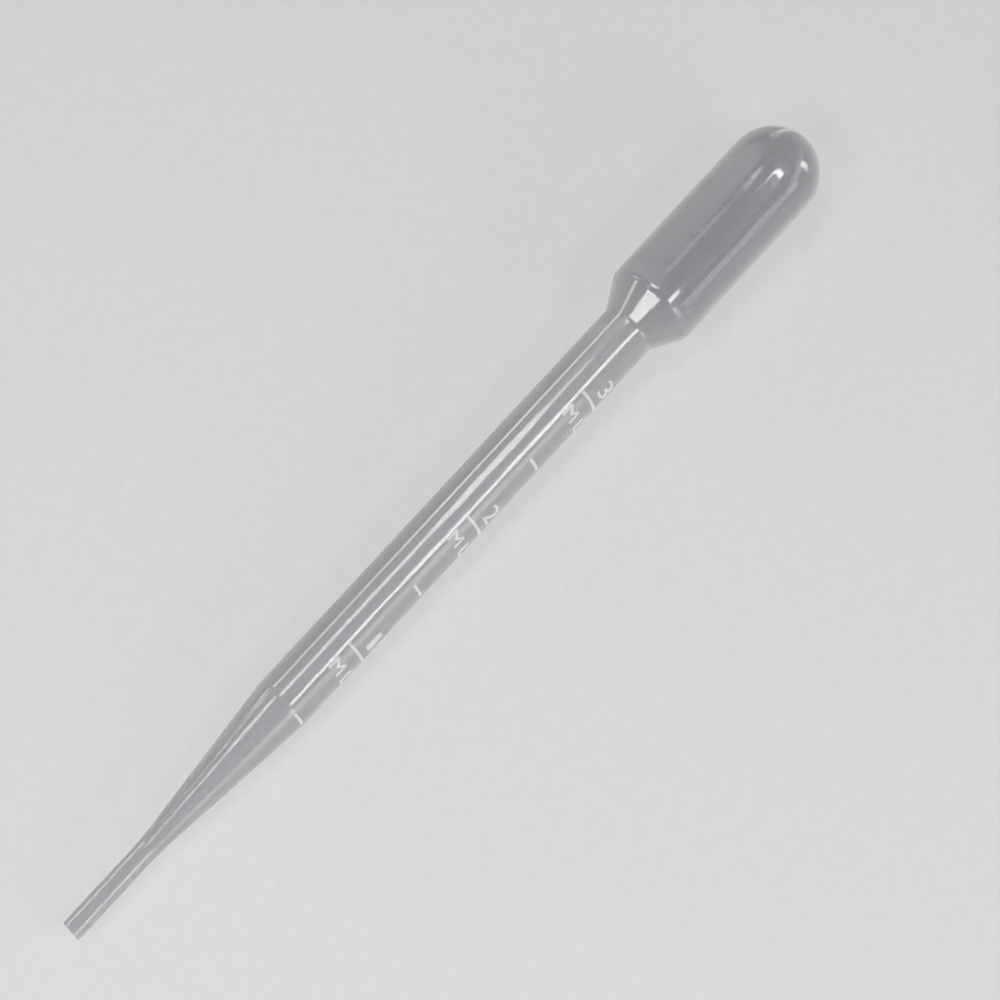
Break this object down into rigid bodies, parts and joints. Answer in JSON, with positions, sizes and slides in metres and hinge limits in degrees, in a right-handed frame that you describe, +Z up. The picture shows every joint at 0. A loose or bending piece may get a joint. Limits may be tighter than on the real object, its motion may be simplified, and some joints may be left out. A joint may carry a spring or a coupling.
{
  "type": "plastic dropper pipette",
  "caption": "One-piece plastic dropper: slim cut tip, long taper, graduated stem and squeeze bulb closed by a pinch weld.",
  "frame": {"origin": "on the table under the middle of the pipette's length", "axes": "+X towards the bulb along the pipette as it lies, +Z up from the table; the graduations face -Y and up"},
  "size_m": [0.155, 0.0138, 0.0147],
  "materials": {
    "natural_polyethylene": "undyed translucent polyethylene, milky, with a soft gloss"
  },
  "bodies": {
    "root": {"pipette": "natural_polyethylene"}
  },
  "joints": []
}
